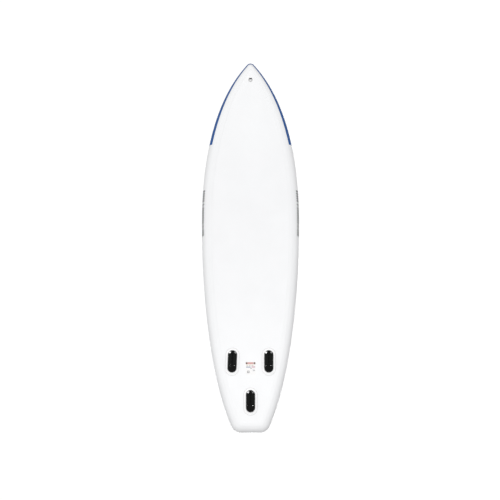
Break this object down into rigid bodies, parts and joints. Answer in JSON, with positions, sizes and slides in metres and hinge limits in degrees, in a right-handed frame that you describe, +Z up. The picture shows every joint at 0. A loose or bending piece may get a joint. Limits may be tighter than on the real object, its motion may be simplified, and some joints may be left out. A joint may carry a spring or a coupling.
{
  "type": "inflatable stand up paddleboard",
  "caption": "White inflatable stand up paddleboard with a blue nose band, black fin boxes, traction pad, handle, valve and rings.",
  "frame": {"origin": "centre of the bounding box in length and width, at the level of the side fin boxes' lowest faces", "axes": "+X towards the nose, +Y to port, +Z up out of the deck"},
  "size_m": [3.2012, 0.8392, 0.2998],
  "materials": {
    "pvc_white": "satin PVC-coated fabric",
    "stripe_blue": "satin printed PVC",
    "label": "printed film",
    "thread": "polyester thread",
    "black_nylon": "moulded nylon",
    "steel": "polished stainless steel",
    "valve_plastic": "moulded nylon",
    "valve_stem_plastic": "moulded nylon",
    "rubber_black": "soft rubber",
    "eva_pad": "grooved EVA foam",
    "webbing": "woven nylon webbing",
    "grip_foam": "neoprene over foam"
  },
  "bodies": {
    "board": {"hull_skin": "pvc_white", "deck_skin": "pvc_white", "drop_stitch_threads": "thread", "rail_band_port": "pvc_white", "rail_band_starboard": "pvc_white", "hull_tape_port": "pvc_white", "hull_tape_starboard": "pvc_white", "deck_tape_port": "pvc_white", "deck_tape_starboard": "pvc_white", "nose_joint_patch": "pvc_white", "tail_joint_patch": "pvc_white", "nose_stripe": "stripe_blue", "hull_label": "label", "nose_ring_patch": "pvc_white", "nose_ring_tab": "pvc_white", "fin_patch_port": "pvc_white", "fin_base_port": "black_nylon", "fin_pin_port": "steel", "fin_spring_port": "steel", "fin_patch_starboard": "pvc_white", "fin_base_starboard": "black_nylon", "fin_pin_starboard": "steel", "fin_spring_starboard": "steel", "fin_patch_centre": "pvc_white", "fin_base_centre": "black_nylon", "fin_pin_centre": "steel", "fin_spring_centre": "steel", "valve_patch": "pvc_white", "valve_gasket": "rubber_black", "valve_nut": "valve_plastic", "valve_body": "valve_plastic", "valve_tether_ring": "valve_plastic", "deck_pad": "eva_pad", "tail_kick": "eva_pad", "handle_patches": "pvc_white", "handle_strap": "webbing", "handle_grip": "grip_foam", "deck_ring_patches": "pvc_white", "deck_ring_tabs": "webbing", "leash_ring_patch": "pvc_white", "leash_ring_tab": "webbing"},
    "deck_ring_front_port": {"deck_ring_front_port": "steel"},
    "deck_ring_front_starboard": {"deck_ring_front_starboard": "steel"},
    "deck_ring_rear_port": {"deck_ring_rear_port": "steel"},
    "deck_ring_rear_starboard": {"deck_ring_rear_starboard": "steel"},
    "nose_ring": {"nose_ring": "steel"},
    "leash_ring": {"leash_ring": "steel"},
    "fin_latch_port": {"fin_latch_port": "black_nylon"},
    "fin_latch_starboard": {"fin_latch_starboard": "black_nylon"},
    "fin_latch_centre": {"fin_latch_centre": "black_nylon"},
    "valve_tether": {"valve_tether": "valve_plastic"},
    "valve_cap": {"valve_cap": "valve_plastic", "valve_cap_seal": "rubber_black"},
    "valve_spring": {"valve_spring": "steel"},
    "valve_stem": {"valve_stem": "valve_stem_plastic", "valve_diaphragm": "rubber_black"}
  },
  "joints": [
    {"name": "deck_ring_front_port_swing", "type": "hinge", "parent": "board", "child": "deck_ring_front_port", "pos_m": [0.9047, 0.15, 0.18045], "axis": [0.9977, 0, 0.0678], "range_deg": [0, 170]},
    {"name": "deck_ring_front_starboard_swing", "type": "hinge", "parent": "board", "child": "deck_ring_front_starboard", "pos_m": [0.9047, -0.15, 0.18045], "axis": [-0.9977, 0, -0.0678], "range_deg": [0, 170]},
    {"name": "deck_ring_rear_port_swing", "type": "hinge", "parent": "board", "child": "deck_ring_rear_port", "pos_m": [0.575, 0.215, 0.1726], "axis": [1, 0, 0], "range_deg": [0, 170]},
    {"name": "deck_ring_rear_starboard_swing", "type": "hinge", "parent": "board", "child": "deck_ring_rear_starboard", "pos_m": [0.575, -0.215, 0.1726], "axis": [-1, 0, 0], "range_deg": [0, 170]},
    {"name": "nose_ring_swing", "type": "hinge", "parent": "board", "child": "nose_ring", "pos_m": [1.4651, 0, 0.11495], "axis": [0, -1, 0], "range_deg": [0, 170]},
    {"name": "leash_ring_swing", "type": "hinge", "parent": "board", "child": "leash_ring", "pos_m": [-1.46581, 0, 0.18639], "axis": [0, -1, 0], "range_deg": [0, 170]},
    {"name": "fin_latch_port_press", "type": "hinge", "parent": "board", "child": "fin_latch_port", "pos_m": [-1.017, 0.158, 0.007], "axis": [0, 1, 0], "range_deg": [0, 7.5], "stiffness_Nm_per_rad": 1.2, "springref_deg": -6.88, "deforming": ["fin_spring_port"]},
    {"name": "fin_latch_starboard_press", "type": "hinge", "parent": "board", "child": "fin_latch_starboard", "pos_m": [-1.01697, -0.15957, 0.007], "axis": [-0.0436, 0.999, 0], "range_deg": [0, 7.5], "stiffness_Nm_per_rad": 1.2, "springref_deg": -6.88, "deforming": ["fin_spring_starboard"]},
    {"name": "fin_latch_centre_press", "type": "hinge", "parent": "board", "child": "fin_latch_centre", "pos_m": [-1.36245, 0, 0.01627], "axis": [0, 1, 0], "range_deg": [0, 7.5], "stiffness_Nm_per_rad": 1.2, "springref_deg": -6.88, "deforming": ["fin_spring_centre"]},
    {"name": "valve_cap_flip", "type": "hinge", "parent": "board", "child": "valve_tether", "pos_m": [-1.38973, 0, 0.18382], "axis": [0, -1, 0], "range_deg": [0, 125]},
    {"name": "valve_cap_turn", "type": "hinge", "parent": "valve_tether", "child": "valve_cap", "pos_m": [-1.34161, 0, 0.18557], "axis": [0.0436, 0, 0.999], "range_deg": [0, 90]},
    {"name": "valve_stem_turn", "type": "hinge", "parent": "board", "child": "valve_spring", "pos_m": [-1.34244, 0, 0.16659], "axis": [0.0436, 0, 0.999], "range_deg": [0, 90]},
    {"name": "valve_stem_push", "type": "slide", "parent": "valve_spring", "child": "valve_stem", "axis": [-0.0436, 0, -0.999], "range_m": [0, 0.004], "stiffness_N_per_m": 700, "springref_m": -0.004, "deforming": ["valve_spring"]}
  ]
}
